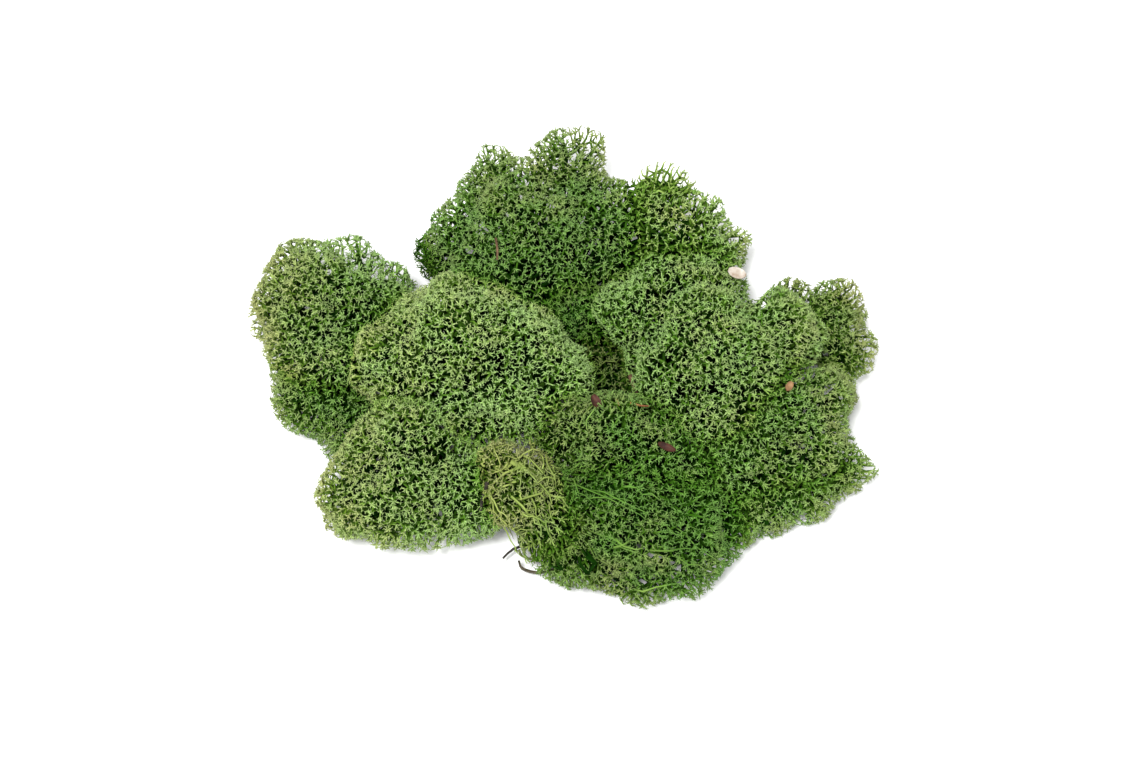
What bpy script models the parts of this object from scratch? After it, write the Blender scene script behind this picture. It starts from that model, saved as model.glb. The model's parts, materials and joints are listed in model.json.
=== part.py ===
"""Moss clump: a loose heap of reindeer lichen tufts with forest litter caught between them.

Every tuft is a closed solid that reaches the tips of its branches. It is made from lobes, which
are egg shapes given by their centre and half sizes, blended into one skin, and it is cut off flat
where it meets the ground. Where two tufts press together, the lower one gives way to the upper one.
Z is up, and the ground is at Z = 0. The heap's front is at -Y.
"""

import math

import bmesh
import bpy
import numpy as np
from mathutils import Matrix, Vector
from mathutils.bvhtree import BVHTree

MM = 0.001
GROW = 0.36 * MM  # how far a cutter stands outside its piece, for 0.3 mm of air on a faceted skin
VOXEL = 2.0 * MM  # size of the grid on which the lobes of a tuft are melted together
SOFTENING = 6  # rounds of smoothing over the creases between lobes
FACET_AREA = 15.0 * MM * MM  # about the area of one triangle of a tuft's skin
DROP_FROM = 0.2  # height from which a resting place is looked for

# Lobes of each tuft, from the top of the heap down: centre x, y, z and half sizes along x, y, z, in mm.
# A tuft gives way to every tuft above it in this list. The first lobe holds the tuft's heart.
TUFTS = {
    "moss_tuft_centre_left": (
        (-29, 2, 24, 23, 20, 23),
        (-31, 11, 31, 11, 10, 13),
        (-48, -3, 25, 9, 12, 15),
        (-11, 1, 27, 14, 12, 15),
        (0, -5, 24, 10, 9, 13),
        (-17, -15, 24, 18, 11, 15),
    ),
    "moss_tuft_centre_right": (
        (43, -1, 24, 22, 21, 24),
        (63, 6, 27, 12, 11, 14),
        (43, -16, 25, 13, 12, 15),
        (22, 13, 27, 12, 10, 13),
        (36, 20, 26, 17, 10, 13),
        (30, -4, 26, 10, 13, 14),
    ),
    "moss_tuft_bare_base": (
        (-10, -40, 27, 11, 13, 10),
        (-15, -34, 29, 7, 7, 8),
        (-1, -49, 23, 8, 8, 8),
        (-6, -52, 13, 7, 5, 8),
    ),
    "moss_tuft_middle": (
        (18, -25, 20, 20, 13, 18),
        (30, -34, 20, 16, 9, 14),
        (4, -22, 20, 11, 10, 14),
    ),
    "moss_tuft_left_back": (
        (-67, 17, 17, 20, 20, 18),
        (-53, 20, 17, 11, 12, 14),
        (-64, 3, 19, 14, 11, 13),
        (-80, 18, 15, 8, 12, 14),
        (-66, 32, 15, 17, 8, 12),
        (-46, 25, 14, 6, 6, 11),
    ),
    "moss_tuft_back": (
        (-8, 37, 20, 27, 21, 21),
        (3, 59, 23, 11, 13, 10),
        (-18, 53, 20, 12, 12, 13),
        (-13, 22, 23, 18, 10, 14),
        (14, 37, 20, 15, 17, 16),
        (-30, 38, 14, 8, 9, 11),
        (10, 51, 20, 9, 10, 12),
    ),
    "moss_tuft_front": (
        (21, -47, 16, 27, 18, 18),
        (22, -57, 10, 20, 10, 13),
        (38, -49, 14, 14, 16, 15),
        (6, -55, 11, 12, 10, 12),
        (1, -46, 17, 11, 13, 13),
    ),
    "moss_tuft_back_right": (
        (31, 35, 18, 19, 16, 18),
        (46, 35, 17, 8, 10, 13),
        (20, 41, 21, 10, 12, 13),
        (40, 44, 20, 8, 7, 11),
        (39, 23, 18, 14, 8, 12),
    ),
    "moss_tuft_front_left": (
        (-46, -37, 16, 20, 16, 18),
        (-58, -40, 13, 10, 11, 14),
        (-27, -38, 16, 17, 14, 16),
        (-43, -25, 20, 15, 12, 15),
    ),
    "moss_tuft_right": (
        (63, -19, 16, 21, 17, 16),
        (76, -10, 14, 8, 11, 13),
        (47, -30, 16, 17, 11, 15),
        (57, -8, 19, 14, 11, 14),
    ),
    "moss_tuft_hollow": (
        (0, 16, 17, 15, 9, 14),
        (11, 14, 15, 10, 8, 12),
    ),
    "moss_tuft_right_back": (
        (77, 15, 12, 12, 12, 13),
        (81, 7, 10, 8, 8, 12),
        (67, 19, 13, 10, 7, 11),
    ),
    "moss_tuft_left_front": (
        (-68, -6, 10, 15, 12, 12),
        (-76, -4, 9, 6, 13, 10),
        (-60, -16, 9, 10, 9, 10),
    ),
    "moss_tuft_right_front": (
        (63, -34, 9, 18, 10, 11),
        (80, -28, 8, 8, 6, 8),
        (52, -41, 9, 16, 9, 11),
    ),
    "moss_tuft_pit": (
        (16, -1, 11, 15, 15, 13),
        (22, -9, 12, 11, 10, 12),
    ),
    "moss_sprig_back_right": (
        (30, 52, 23, 9, 9, 7),
        (28, 46, 21, 7, 6, 6),
    ),
    "moss_sprig_back_left": ((-34, 36, 12, 7, 7, 9),),
}

# Thin stems, twigs and needles: a path of x, y and height points, then the radius at each end, in mm.
# A height is counted from the tufts below the point where RESTS holds the name, or from the ground.
STEMS = {
    "twig_dark_front": (((-1, -45, 7), (-7, -48.5, 6), (-12.5, -50.5, 6), (-15.5, -53, 5)), 0.55, 0.3),
    "stem_curl_front": (((-11, -51.5, 8), (-10, -53, 7), (-7, -54, 7), (-3, -54, 8)), 0.35, 0.35),
    "stem_dark_left": (((-19.5, -41, 1.2), (-20.3, -43, 0.9), (-21, -45, 0.9), (-21.3, -47, 0.9)), 0.6, 0.35),
    "needle_long": (((20, -18.5, 1.0), (22.5, -19.3, 0.8), (25, -19, 1.0)), 0.35, 0.2),
    "needle_short": (((16, -16.5, 1.0), (16.4, -18, 0.9), (16.8, -19.5, 1.0)), 0.35, 0.25),
    "twig_brown_middle": (((20, -6, 2.0), (21.3, -9.5, 1.6), (22.3, -13, 1.4)), 0.7, 0.5),
    "stem_thin_back": (((-17.5, 30, 0.9), (-17, 27, 0.7), (-17, 24, 0.8)), 0.35, 0.3),
}
RESTS = (
    "stem_dark_left",
    "needle_long",
    "needle_short",
    "twig_brown_middle",
    "stem_thin_back",
)
STEM_SIDES = 6
STEM_STEPS = 2  # points to each stretch of a stem's path

# The curled strip of bark: its path in mm, its width and thickness.
STRAP_PATH = ((-11, -54, 6), (-10, -56, 5), (-6, -57, 4.5), (-2.5, -56.5, 4.5), (1, -55, 5.5))
STRAP_WIDTH = 1.8 * MM
STRAP_THICKNESS = 0.5 * MM
STRAP_STEPS = 3
STRAP_TAPER = 0.6  # its far end's size as a share of its near end's

# Leaf flakes and chips: x, y, half length and half width in mm, turn and tilt in degrees, curl in mm.
FLAKES = {
    "leaf_flake_brown": (10.4, -17.5, 2.2, 1.3, 120, 12, 0.6),
    "leaf_bit_red": (30, -31, 2.6, 1.0, -25, 10, 0.5),
    "leaf_flake_tan": (64, -12, 1.5, 1.0, 60, 8, 0.4),
    "pale_chip": (50, 21.5, 2.6, 1.6, -20, 5, 0.3),
}
FLAKE_THICKNESS = 0.4 * MM
FLAKE_LIFT = 0.7 * MM
FLAKE_ROWS = 7
FLAKE_COLUMNS = 5
FLAKE_POINT = 0.9  # 1 would taper a flake to sharp points, 0 leaves it square

# Base colour of each tuft, from the pale ones on top to the deep ones, and of the litter.
PALE_GREEN = (0.20, 0.34, 0.10)
LEAF_GREEN = (0.13, 0.27, 0.07)
DEEP_GREEN = (0.07, 0.19, 0.05)
BARE_BEIGE = (0.30, 0.30, 0.15)
OLIVE = (0.14, 0.19, 0.06)
TUFT_COLOURS = {
    "moss_tuft_centre_left": PALE_GREEN,
    "moss_tuft_centre_right": PALE_GREEN,
    "moss_tuft_bare_base": BARE_BEIGE,
    "moss_tuft_back": DEEP_GREEN,
    "moss_tuft_front": DEEP_GREEN,
    "moss_tuft_hollow": DEEP_GREEN,
    "moss_tuft_pit": OLIVE,
    "moss_sprig_back_left": DEEP_GREEN,
}
LITTER_COLOURS = {
    "twig_dark_front": (0.02, 0.016, 0.015),
    "bark_strap": (0.045, 0.035, 0.02),
    "stem_curl_front": (0.09, 0.11, 0.04),
    "stem_dark_left": (0.05, 0.04, 0.02),
    "leaf_flake_brown": (0.12, 0.035, 0.02),
    "needle_long": (0.20, 0.08, 0.03),
    "needle_short": (0.20, 0.08, 0.03),
    "twig_brown_middle": (0.05, 0.03, 0.02),
    "leaf_bit_red": (0.14, 0.05, 0.02),
    "leaf_flake_tan": (0.30, 0.17, 0.08),
    "stem_thin_back": (0.13, 0.09, 0.04),
    "pale_chip": (0.45, 0.40, 0.33),
}
MOSS_ROUGHNESS = 0.9
LITTER_ROUGHNESS = 0.75


def apply_modifiers(body):
    """Puts the evaluated mesh in the place of the body's own."""
    graph = bpy.context.evaluated_depsgraph_get()
    result = bpy.data.meshes.new_from_object(body.evaluated_get(graph))
    body.modifiers.clear()
    body.data = result


def clear_scene():
    for thing in list(bpy.data.objects):
        bpy.data.objects.remove(thing, do_unlink=True)


def plain_material(name, colour, roughness):
    material = bpy.data.materials.new(name)
    material.use_nodes = True
    shader = material.node_tree.nodes["Principled BSDF"]
    shader.inputs["Base Color"].default_value = (*colour, 1.0)
    shader.inputs["Roughness"].default_value = roughness
    shader.inputs["Metallic"].default_value = 0.0
    return material


def new_object(name, points, faces):
    """Makes an object from points in metres, with its faces turned outwards."""
    mesh = bpy.data.meshes.new(name)
    mesh.from_pydata([tuple(point) for point in points], [], faces)
    body = bpy.data.objects.new(name, mesh)
    bpy.context.scene.collection.objects.link(body)
    work = bmesh.new()
    work.from_mesh(mesh)
    bmesh.ops.triangulate(work, faces=work.faces)
    bmesh.ops.recalc_face_normals(work, faces=work.faces)
    work.to_mesh(mesh)
    work.free()
    return body


def melted_lobes(name, lobes):
    """One closed skin round all the lobes of a tuft, with soft creases where they meet."""
    mesh = bpy.data.meshes.new(name)
    body = bpy.data.objects.new(name, mesh)
    bpy.context.scene.collection.objects.link(body)
    work = bmesh.new()
    for x, y, z, half_x, half_y, half_z in lobes:
        place = Matrix.Translation((x * MM, y * MM, z * MM))
        size = Matrix.Diagonal((half_x * MM, half_y * MM, half_z * MM, 1.0))
        bmesh.ops.create_icosphere(work, subdivisions=3, radius=1.0, matrix=place @ size)
    work.to_mesh(mesh)
    work.free()
    melt = body.modifiers.new("melt", "REMESH")
    melt.mode = "VOXEL"
    melt.voxel_size = VOXEL
    soften = body.modifiers.new("soften", "SMOOTH")
    soften.iterations = SOFTENING
    apply_modifiers(body)
    area = sum(face.area for face in body.data.polygons)
    thin = body.modifiers.new("thin", "DECIMATE")
    thin.ratio = area / FACET_AREA / (2 * len(body.data.polygons))
    apply_modifiers(body)
    return body


def cut_flat(body):
    """Cuts a solid off at the ground and closes the cut with one flat face."""
    work = bmesh.new()
    work.from_mesh(body.data)
    everything = work.verts[:] + work.edges[:] + work.faces[:]
    ground = {"plane_co": (0, 0, 0), "plane_no": (0, 0, 1), "dist": 1e-6}
    bmesh.ops.bisect_plane(work, geom=everything, clear_inner=True, **ground)
    rim = [edge for edge in work.edges if edge.is_boundary]
    bmesh.ops.edgenet_fill(work, edges=rim)
    bmesh.ops.triangulate(work, faces=work.faces)
    bmesh.ops.recalc_face_normals(work, faces=work.faces)
    work.to_mesh(body.data)
    work.free()


def grown_copy(body):
    """A cutter in the shape of a body, with its skin moved outwards to leave the gap."""
    cutter = bpy.data.objects.new(body.name + "_cutter", body.data.copy())
    bpy.context.scene.collection.objects.link(cutter)
    work = bmesh.new()
    work.from_mesh(cutter.data)
    work.normal_update()
    moved = [point.co + point.normal * GROW for point in work.verts]
    for point, place in zip(work.verts, moved):
        point.co = place
    work.to_mesh(cutter.data)
    work.free()
    return cutter


def boxes_meet(first, second):
    ends = []
    for body in (first, second):
        points = np.array([point.co for point in body.data.vertices])
        ends.append((points.min(0), points.max(0)))
    apart = np.maximum(ends[0][0] - ends[1][1], ends[1][0] - ends[0][1])
    return bool((apart < 0).all())


def connected_bodies(work):
    """The separate bodies of a bmesh, each a list of faces, found by walking over shared edges."""
    left = set(work.faces)
    bodies = []
    while left:
        queue = [left.pop()]
        found = []
        while queue:
            face = queue.pop()
            found.append(face)
            for edge in face.edges:
                for other in edge.link_faces:
                    if other in left:
                        left.remove(other)
                        queue.append(other)
        bodies.append(found)
    return bodies


def keep_largest_body(body):
    """Drops the crumbs that a cut has left beside the main body, and splits its faces into triangles."""
    work = bmesh.new()
    work.from_mesh(body.data)
    bodies = sorted(connected_bodies(work), key=lambda faces: sum(face.calc_area() for face in faces))
    crumbs = [face for faces in bodies[:-1] for face in faces]
    bmesh.ops.delete(work, geom=crumbs, context="FACES")
    bmesh.ops.triangulate(work, faces=work.faces)
    work.to_mesh(body.data)
    work.free()


def give_way(soft, cutters):
    """Hollows a soft body where any of the cutters lies in it."""
    near = [cutter for cutter in cutters if boxes_meet(soft, cutter)]
    if not near:
        return
    together = bpy.data.collections.new("cutters")
    bpy.context.scene.collection.children.link(together)
    for cutter in near:
        together.objects.link(cutter)
    cut = soft.modifiers.new("give_way", "BOOLEAN")
    cut.operation = "DIFFERENCE"
    cut.operand_type = "COLLECTION"
    cut.collection = together
    apply_modifiers(soft)
    bpy.data.collections.remove(together)
    keep_largest_body(soft)


def build_tufts():
    """Makes every tuft as a whole, still overlapping its neighbours."""
    tufts = {}
    for name, lobes in TUFTS.items():
        body = melted_lobes(name, lobes)
        cut_flat(body)
        tufts[name] = body
    return tufts


def press_together(tufts, litter):
    """Lets each tuft give way to the tufts above it in the list, and to the litter."""
    bits = [grown_copy(body) for body in litter.values()]
    above = [grown_copy(body) for body in tufts.values()]
    for place, soft in enumerate(tufts.values()):
        give_way(soft, above[:place] + bits)
    for cutter in above + bits:
        bpy.data.objects.remove(cutter, do_unlink=True)


class Surface:
    """The heap's upper skin, on which litter lies."""

    def __init__(self, tufts):
        graph = bpy.context.evaluated_depsgraph_get()
        self.trees = [BVHTree.FromObject(body, graph) for body in tufts.values()]

    def height(self, x, y):
        start = Vector((x, y, DROP_FROM))
        hits = [tree.ray_cast(start, Vector((0.0, 0.0, -1.0)))[0] for tree in self.trees]
        return max((hit.z for hit in hits if hit is not None), default=0.0)


def smooth_path(points, steps):
    """A Catmull-Rom curve through the points, with steps points to each stretch."""
    points = [np.array(point, float) for point in points]
    ends = [2 * points[0] - points[1], *points, 2 * points[-1] - points[-2]]
    path = []
    for before, start, end, after in zip(ends, ends[1:], ends[2:], ends[3:]):
        for step in range(steps):
            t = step / steps
            path.append(
                0.5 * (2 * start + (end - before) * t)
                + 0.5 * (2 * before - 5 * start + 4 * end - after) * t**2
                + 0.5 * (3 * start - before - 3 * end + after) * t**3
            )
    path.append(points[-1])
    return np.array(path)


def frames_along(path):
    """Two unit vectors across the path at each point, one level and one upwards."""
    along = np.gradient(path, axis=0)
    along /= np.linalg.norm(along, axis=1)[:, None]
    level = np.cross(along, (0.0, 0.0, 1.0))
    level /= np.linalg.norm(level, axis=1)[:, None]
    return level, np.cross(level, along)


def sweep(name, path, section, scale):
    """Carries a closed section along a path, scaled at each point, with a flat cap at each end."""
    level, up = frames_along(path)
    count = len(section)
    rings = [
        place + size * (u * across + v * rise)
        for place, size, across, rise in zip(path, scale, level, up)
        for u, v in section
    ]
    faces = [
        (here + k, here + (k + 1) % count, here + count + (k + 1) % count, here + count + k)
        for here in range(0, (len(path) - 1) * count, count)
        for k in range(count)
    ]
    faces.append(tuple(range(count)))
    faces.append(tuple(range((len(path) - 1) * count, len(path) * count)))
    return new_object(name, rings, faces)


def build_stems(surface):
    turn = np.arange(STEM_SIDES) * 2.0 * math.pi / STEM_SIDES
    section = list(zip(np.cos(turn), np.sin(turn)))
    stems = {}
    for name, (points, thick, thin) in STEMS.items():
        path = smooth_path(points, STEM_STEPS) * MM
        if name in RESTS:
            path[:, 2] += [surface.height(x, y) for x, y in path[:, :2]]
        stems[name] = sweep(name, path, section, np.linspace(thick, thin, len(path)) * MM)
    return stems


def build_strap():
    path = smooth_path(STRAP_PATH, STRAP_STEPS) * MM
    half_width = STRAP_WIDTH / 2
    half_thickness = STRAP_THICKNESS / 2
    section = [
        (half_thickness, half_width),
        (-half_thickness, half_width),
        (-half_thickness, -half_width),
        (half_thickness, -half_width),
    ]
    return sweep("bark_strap", path, section, np.linspace(1.0, STRAP_TAPER, len(path)))


def build_flake(name, surface, x, y, length, width, turn, tilt, curl):
    """A thin leaf-shaped plate, pointed at both ends and curled upwards along its edges."""
    along = np.linspace(-1.0, 1.0, FLAKE_ROWS)
    across = np.linspace(-1.0, 1.0, FLAKE_COLUMNS)
    s, t = np.meshgrid(along, across, indexing="ij")
    outline = np.sqrt(1.0 - FLAKE_POINT * s**2)
    plan = np.stack([s * length, t * width * outline, curl * (s**2 + t**2)], -1) * MM
    lower = plan.reshape(-1, 3)
    upper = lower + (0.0, 0.0, FLAKE_THICKNESS)
    cos_tilt, sin_tilt = math.cos(math.radians(tilt)), math.sin(math.radians(tilt))
    cos_turn, sin_turn = math.cos(math.radians(turn)), math.sin(math.radians(turn))
    tilted = np.array([(1, 0, 0), (0, cos_tilt, -sin_tilt), (0, sin_tilt, cos_tilt)])
    turned = np.array([(cos_turn, -sin_turn, 0), (sin_turn, cos_turn, 0), (0, 0, 1)])
    place = np.array([x * MM, y * MM, surface.height(x * MM, y * MM) + FLAKE_LIFT])
    points = np.concatenate([lower, upper]) @ (turned @ tilted).T + place
    grid = np.arange(FLAKE_ROWS * FLAKE_COLUMNS).reshape(FLAKE_ROWS, FLAKE_COLUMNS)
    corners = (grid[:-1, :-1], grid[:-1, 1:], grid[1:, 1:], grid[1:, :-1])
    below = np.stack(corners, -1).reshape(-1, 4)
    rim = np.concatenate([grid[:-1, 0], grid[-1, :-1], grid[:0:-1, -1], grid[0, :0:-1]])
    onward = np.roll(rim, -1)
    side = np.stack([rim, onward, onward + grid.size, rim + grid.size], -1)
    return new_object(name, points, np.concatenate([below, below + grid.size, side]).tolist())


def build_litter(surface):
    litter = build_stems(surface)
    litter["bark_strap"] = build_strap()
    for name, sizes in FLAKES.items():
        litter[name] = build_flake(name, surface, *sizes)
    return litter


def centre_on_ground(bodies):
    """Moves the whole heap so that its box is centred on the origin."""
    points = np.concatenate([[point.co for point in body.data.vertices] for body in bodies])
    middle = (points.min(0) + points.max(0)) / 2
    for body in bodies:
        for point in body.data.vertices:
            point.co.x -= middle[0]
            point.co.y -= middle[1]


def main():
    clear_scene()
    tufts = build_tufts()
    litter = build_litter(Surface(tufts))
    press_together(tufts, litter)
    for name, body in tufts.items():
        colour = TUFT_COLOURS.get(name, LEAF_GREEN)
        body.data.materials.clear()
        body.data.materials.append(plain_material(name, colour, MOSS_ROUGHNESS))
    for name, body in litter.items():
        body.data.materials.append(plain_material(name, LITTER_COLOURS[name], LITTER_ROUGHNESS))
    centre_on_ground([*tufts.values(), *litter.values()])


main()
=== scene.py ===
"""Moss clump: the looks of a loose heap of reindeer lichen, with forest litter caught in it.

Each tuft is a thicket of forked twigs. Its tips lie on the skin of the tuft's solid in the frame, and
twigs join them, level by level, towards the tuft's root. Lengths in the growing are in millimetres, and
the finished meshes are in metres, in the frame's own place.
"""

import functools
import json
import math

import bpy
import numpy as np
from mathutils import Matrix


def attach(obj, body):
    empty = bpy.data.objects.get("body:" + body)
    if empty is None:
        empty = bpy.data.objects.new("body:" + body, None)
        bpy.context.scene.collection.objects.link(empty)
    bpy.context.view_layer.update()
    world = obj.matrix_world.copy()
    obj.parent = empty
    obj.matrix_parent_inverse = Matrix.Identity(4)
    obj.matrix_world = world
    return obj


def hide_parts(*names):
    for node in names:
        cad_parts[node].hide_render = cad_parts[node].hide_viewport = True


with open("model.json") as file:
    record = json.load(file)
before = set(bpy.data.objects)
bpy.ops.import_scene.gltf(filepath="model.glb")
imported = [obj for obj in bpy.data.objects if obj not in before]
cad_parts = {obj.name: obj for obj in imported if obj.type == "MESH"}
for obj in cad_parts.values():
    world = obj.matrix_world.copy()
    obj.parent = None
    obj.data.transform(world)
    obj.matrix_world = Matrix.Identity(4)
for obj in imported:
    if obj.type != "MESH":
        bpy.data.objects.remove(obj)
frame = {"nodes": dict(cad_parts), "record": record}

bl_info = {
    "name": "Moss Clump",
    "version": (1, 0, 0),
    "blender": (4, 5, 0),
    "location": "View3D > Sidebar > Moss",
    "description": "Grows a heap of branching lichen tufts round its solids and sets it on a pale floor",
    "category": "Add Mesh",
}

MM = 0.001
SAMPLES = 8.0  # loose points to a square millimetre of skin, from which the tips are picked
TOUCH = 1.3  # a place nearer than this to another tuft is hidden between the two
NEAR_GROUND = 0.1  # a place lower than this is hidden under its tuft
HEART = (0.0, -4.0, 6.0)  # the heap's own middle, towards which the roots of its tufts lean
ROOT_LEAN = 0.4  # a root's share of the way from the tuft's middle to the heart
ROOT_HEIGHT = 0.2  # its height, as a share of the tuft's

# The tips.
PATCH = 14.0  # length of the waves by which spacing and dryness change over a tuft
UNEVEN_SPACING = 0.12  # share by which they change the spacing
UNEVEN_DRYNESS = 0.12  # and how much they add to the dryness
OPEN_REACH = 1.6  # an open spot fades out at this many times its radius
OPEN_SPACING = 0.35  # share by which tips are further apart in an open spot
OPEN_JOINTS = 0.4  # share by which joints are
HIDDEN_SPACING = 2.3  # spacing of hidden tips against the usual
HIDDEN_SUNK = 0.3
HEAD_SPACING = 9.0  # least distance between the middles of two small heads
HEAD_RADIUS = 7.0
RIPPLES = ((15, 1.0), (6, 0.5), (28, 1.0))  # length of each slow ripple of the heads, and its share
NEIGHBOUR = 6.0  # tips lean over a crevice when the next tuft is nearer than this
LEAN = 2.4  # how far they rise there
HOLE_SPACING = 2.5  # least distance between two missing tips
HOLE_SHARE = 0.75  # share of the holes picked that far apart that are left open

# The twigs. Each level of joints, from the tips inwards: depth below the level above, distance apart,
# radius of the twigs that leave it at their roots and at their ends, and how far apart, against that
# distance, two joints may be and still be tied together.
LEVELS = (
    (1.1, 1.8, 0.26, 0.22, 0.0),
    (1.6, 2.1, 0.36, 0.26, 1.3),
    (2.3, 2.8, 0.52, 0.36, 1.5),
    (3.6, 4.4, 0.75, 0.55, 1.4),
)
CORNERS = 3  # a twig's section is a triangle, because there are many thousands of twigs
BOW = 0.55  # a tip twig bows outwards at this share of its length
PRONG_ROOT = 0.17  # radius of a prong at its root
INWARD = 0.3  # longest step of a joint, as a share of its way to the root
ROOTWARD = 0.35  # how far the deepest joints turn towards the root
JITTER = 0.12  # random part of a step, against the distance apart
UNDER = 1.2  # deeper joints, and the ties between joints, stay this far below the skin
FAT = 2.2  # thickness against the usual where two tufts press together, so that no light comes through
ON_GROUND = 1.0  # hidden tips lower than this stay thin, because they show from the side
SHADED = {"pressed": 3.0, "ground": 1.5, "crevice": 2.8}  # painted shade: depth from which hidden twigs start, so they are darker where tufts press together, near the ground and over a crevice
FULL_DEPTH = 6.0  # from this deep a twig has only the painted deep shade colour
OUTER = 1  # the last level whose joints may come out of the skin, and whose twigs may be fat
CLEAR = 0.03  # nothing is lower than this
MARGIN = 0.1  # blank share at each side of a twig's own cell on the map

# The long bare stems, of which the thin ones are called strands.
STEM_PLACES = 7  # places on its path
STEM_LIFT = 0.5  # how far it stands off the skin in its middle
STEM_END = 0.35  # radius of a thick stem towards its point
STEM_WANDER = 0.2
STEM_DEPTH = (0.22 * FULL_DEPTH, 0.12 * FULL_DEPTH)  # depth from its start to its end, which darkens it as painted shade
STRAND_RADII = (0.36, 0.12)  # from its start to its end
STRAND_START = (0.25, 0.7)  # least and greatest share of the way from its end to the root
STRAND_STRAY = 3.0  # how far its start is off at random
STRAND_WANDER = 0.45

# The stage, in metres but for the lens.
FLOOR_HALF = 3.0
LAMP_TILT = (14, -8)  # degrees that it leans to the front and, being negative, to the left
LAMP_ANGLE = 12  # degrees that the lamp spans, for soft shadows
LENS = 150
VIEW_WIDTH = 0.3214  # width of the plane through the target that the camera sees
TARGET = (0.0039, -0.0083, 0.020)

# What sets each tuft apart. spacing: distance between tips against the usual one. comb: how far the
# twigs trail back to the root along the skin. lump: height of its small heads. pale, dry: shares of
# those colours. dry_way: where it grows drier, as a direction. open: spots with wide meshes (x, y, z,
# radius). root: where the twigs come from, if not from low in the tuft. strands: number of long bare
# stems that run over the skin from the root. stems: thicker ones, each from a place to a place with its
# radius. shade: brightness, partly the tuft's own tone and partly painted shade, most of all in the
# hollow and the pit. levels: how many levels of joints. thick: thickness against the usual one.
USUAL = {
    "spacing": 1.0, "comb": 0.3, "lump": 1.2, "pale": 0.3, "dry": 0.1, "dry_way": (0, 0, 0), "open": (),
    "root": None, "strands": 0, "stems": (), "shade": 1.0, "levels": 4, "thick": 1.0,
}
TUFTS = {
    "moss_tuft_centre_left": {"pale": 1.0, "dry": 0.25, "dry_way": (-0.3, 0.1, 0)},
    "moss_tuft_centre_right": {
        "pale": 0.8, "dry": 0.15, "dry_way": (0.2, 0, 0), "comb": 0.6, "shade": 0.92,
    },
    "moss_tuft_bare_base": {
        "spacing": 1.2, "comb": 1.0, "pale": 0.6, "dry": 0.8, "dry_way": (-0.3, 0.3, 0),
        "root": (-14, -38, 28), "strands": 60, "shade": 0.76,
        "stems": (((-12.6, -39, 33), (1.4, -51, 18), 0.95), ((-16, -34, 30), (-21, -52, 14), 0.6)),
    },
    "moss_tuft_middle": {
        "pale": 0.2, "dry": 0.15, "dry_way": (-0.3, 0.2, 0), "comb": 0.8, "strands": 30, "shade": 0.8,
    },
    "moss_tuft_left_back": {
        "pale": 0.8, "dry": 0.2, "dry_way": (-0.8, 0, 0), "shade": 0.9,
        "open": ((-62, 38, 16, 9), (-50, 32, 18, 8)),
    },
    "moss_tuft_back": {
        "pale": 0.4, "dry": 0.15, "dry_way": (0, 0.5, 0), "shade": 0.8,
        "open": ((4, 66, 25, 8), (-18, 60, 22, 7)),
    },
    "moss_tuft_front": {
        "comb": 1.2, "pale": 0.1, "dry": 0.05, "dry_way": (-0.2, -0.4, 0), "root": (-6, -38, 16),
        "strands": 28, "shade": 0.73,
    },
    "moss_tuft_back_right": {"spacing": 1.15, "pale": 0.6, "dry": 0.35, "open": ((30, 48, 22, 12),)},
    "moss_tuft_front_left": {"pale": 0.9, "dry": 0.3, "dry_way": (-0.5, 0, 0), "shade": 0.95},
    "moss_tuft_right": {"pale": 0.5, "dry": 0.1, "dry_way": (0.4, 0, 0), "comb": 0.8, "shade": 0.84},
    # The low shade of the hollow and of the pit is painted shade, down in the hollow of the heap.
    "moss_tuft_hollow": {"spacing": 0.95, "pale": 0.1, "dry": 0.05, "shade": 0.72},
    "moss_tuft_right_back": {"pale": 0.3, "dry": 0.45, "dry_way": (0.3, 0.2, 0), "shade": 0.8},
    "moss_tuft_left_front": {"pale": 0.4, "dry": 0.15, "dry_way": (-0.4, 0, 0), "shade": 0.85},
    "moss_tuft_right_front": {
        "pale": 0.45, "dry": 0.15, "dry_way": (0.3, -0.3, 0), "comb": 0.8, "shade": 0.84,
    },
    "moss_tuft_pit": {"spacing": 1.15, "pale": 0.1, "dry": 0.6, "strands": 25, "shade": 0.45},
}
SPRIGS = {
    "moss_sprig_back_right": {
        "spacing": 2.3, "pale": 0.7, "dry": 0.5, "comb": 0.8, "lump": 0.0, "strands": 8, "levels": 2,
        "thick": 1.1,
    },
    "moss_sprig_back_left": {
        "spacing": 1.2, "pale": 0.1, "dry": 0.1, "comb": 0.5, "lump": 0.0, "shade": 0.5, "levels": 2,
        "thick": 0.75, "stems": (((-36, 31, 12), (-40, 40.5, 13), 0.45),),
    },
}

# Finishes of the litter: light and dark colour, size of its grain, roughness, depth of its grain.
LITTER = {
    "twig_dark": ((0.035, 0.028, 0.020), (0.007, 0.006, 0.004), 0.5, 0.8, 0.10),
    "twig_brown": ((0.17, 0.10, 0.05), (0.05, 0.025, 0.012), 0.6, 0.8, 0.10),
    "bark": ((0.080, 0.060, 0.030), (0.014, 0.014, 0.006), 0.9, 0.85, 0.15),
    "needle": ((0.36, 0.16, 0.05), (0.15, 0.05, 0.02), 0.7, 0.5, 0.04),
    "leaf_brown": ((0.085, 0.026, 0.013), (0.025, 0.008, 0.005), 1.1, 0.7, 0.12),
    "leaf_tan": ((0.30, 0.17, 0.075), (0.14, 0.07, 0.03), 1.1, 0.7, 0.12),
    "chip_pale": ((0.64, 0.61, 0.55), (0.30, 0.22, 0.16), 1.8, 0.85, 0.12),
    "moss_olive": ((0.22, 0.26, 0.09), (0.06, 0.08, 0.02), 0.6, 0.9, 0.08),
}
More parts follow.
